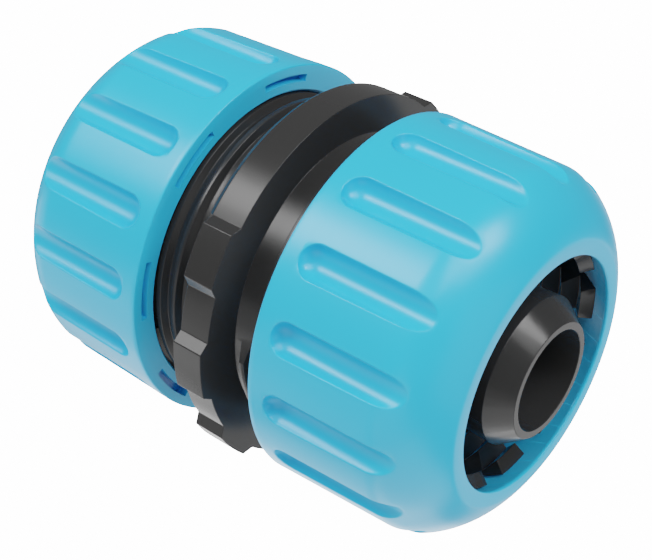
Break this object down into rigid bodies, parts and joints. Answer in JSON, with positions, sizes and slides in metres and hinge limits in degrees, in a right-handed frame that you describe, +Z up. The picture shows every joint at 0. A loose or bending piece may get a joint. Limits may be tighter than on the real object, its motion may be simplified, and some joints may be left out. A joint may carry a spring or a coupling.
{
  "type": "hose mender",
  "caption": "Screw-clamp hose mender: a through-bored body with toothed jaws and a barbed tail at each end, and fluted nuts that squeeze the jaws onto the hose.",
  "frame": {"origin": "centre of the lower hose tail's end rim, on the bore's axis, where the part stands", "axes": "+Z up along the bore; +X through the middle of one group of grip teeth on the collar"},
  "size_m": [0.0378, 0.0362, 0.0509],
  "materials": {
    "body_plastic": "moulded black plastic with a soft sheen",
    "nut_plastic": "moulded sky-blue plastic, semi-gloss"
  },
  "bodies": {
    "mender_body": {"mender_body": "body_plastic"},
    "upper_nut": {"upper_nut": "nut_plastic"},
    "lower_nut": {"lower_nut": "nut_plastic"}
  },
  "joints": [
    {"name": "upper_nut_turn", "type": "hinge", "parent": "mender_body", "child": "upper_nut", "pos_m": [0, 0, 0.041], "axis": [0, 0, 1], "range_deg": [-270, 540]},
    {"name": "lower_nut_turn", "type": "hinge", "parent": "mender_body", "child": "lower_nut", "pos_m": [0, 0, 0.0094], "axis": [0, 0, -1], "range_deg": [-270, 540]}
  ]
}
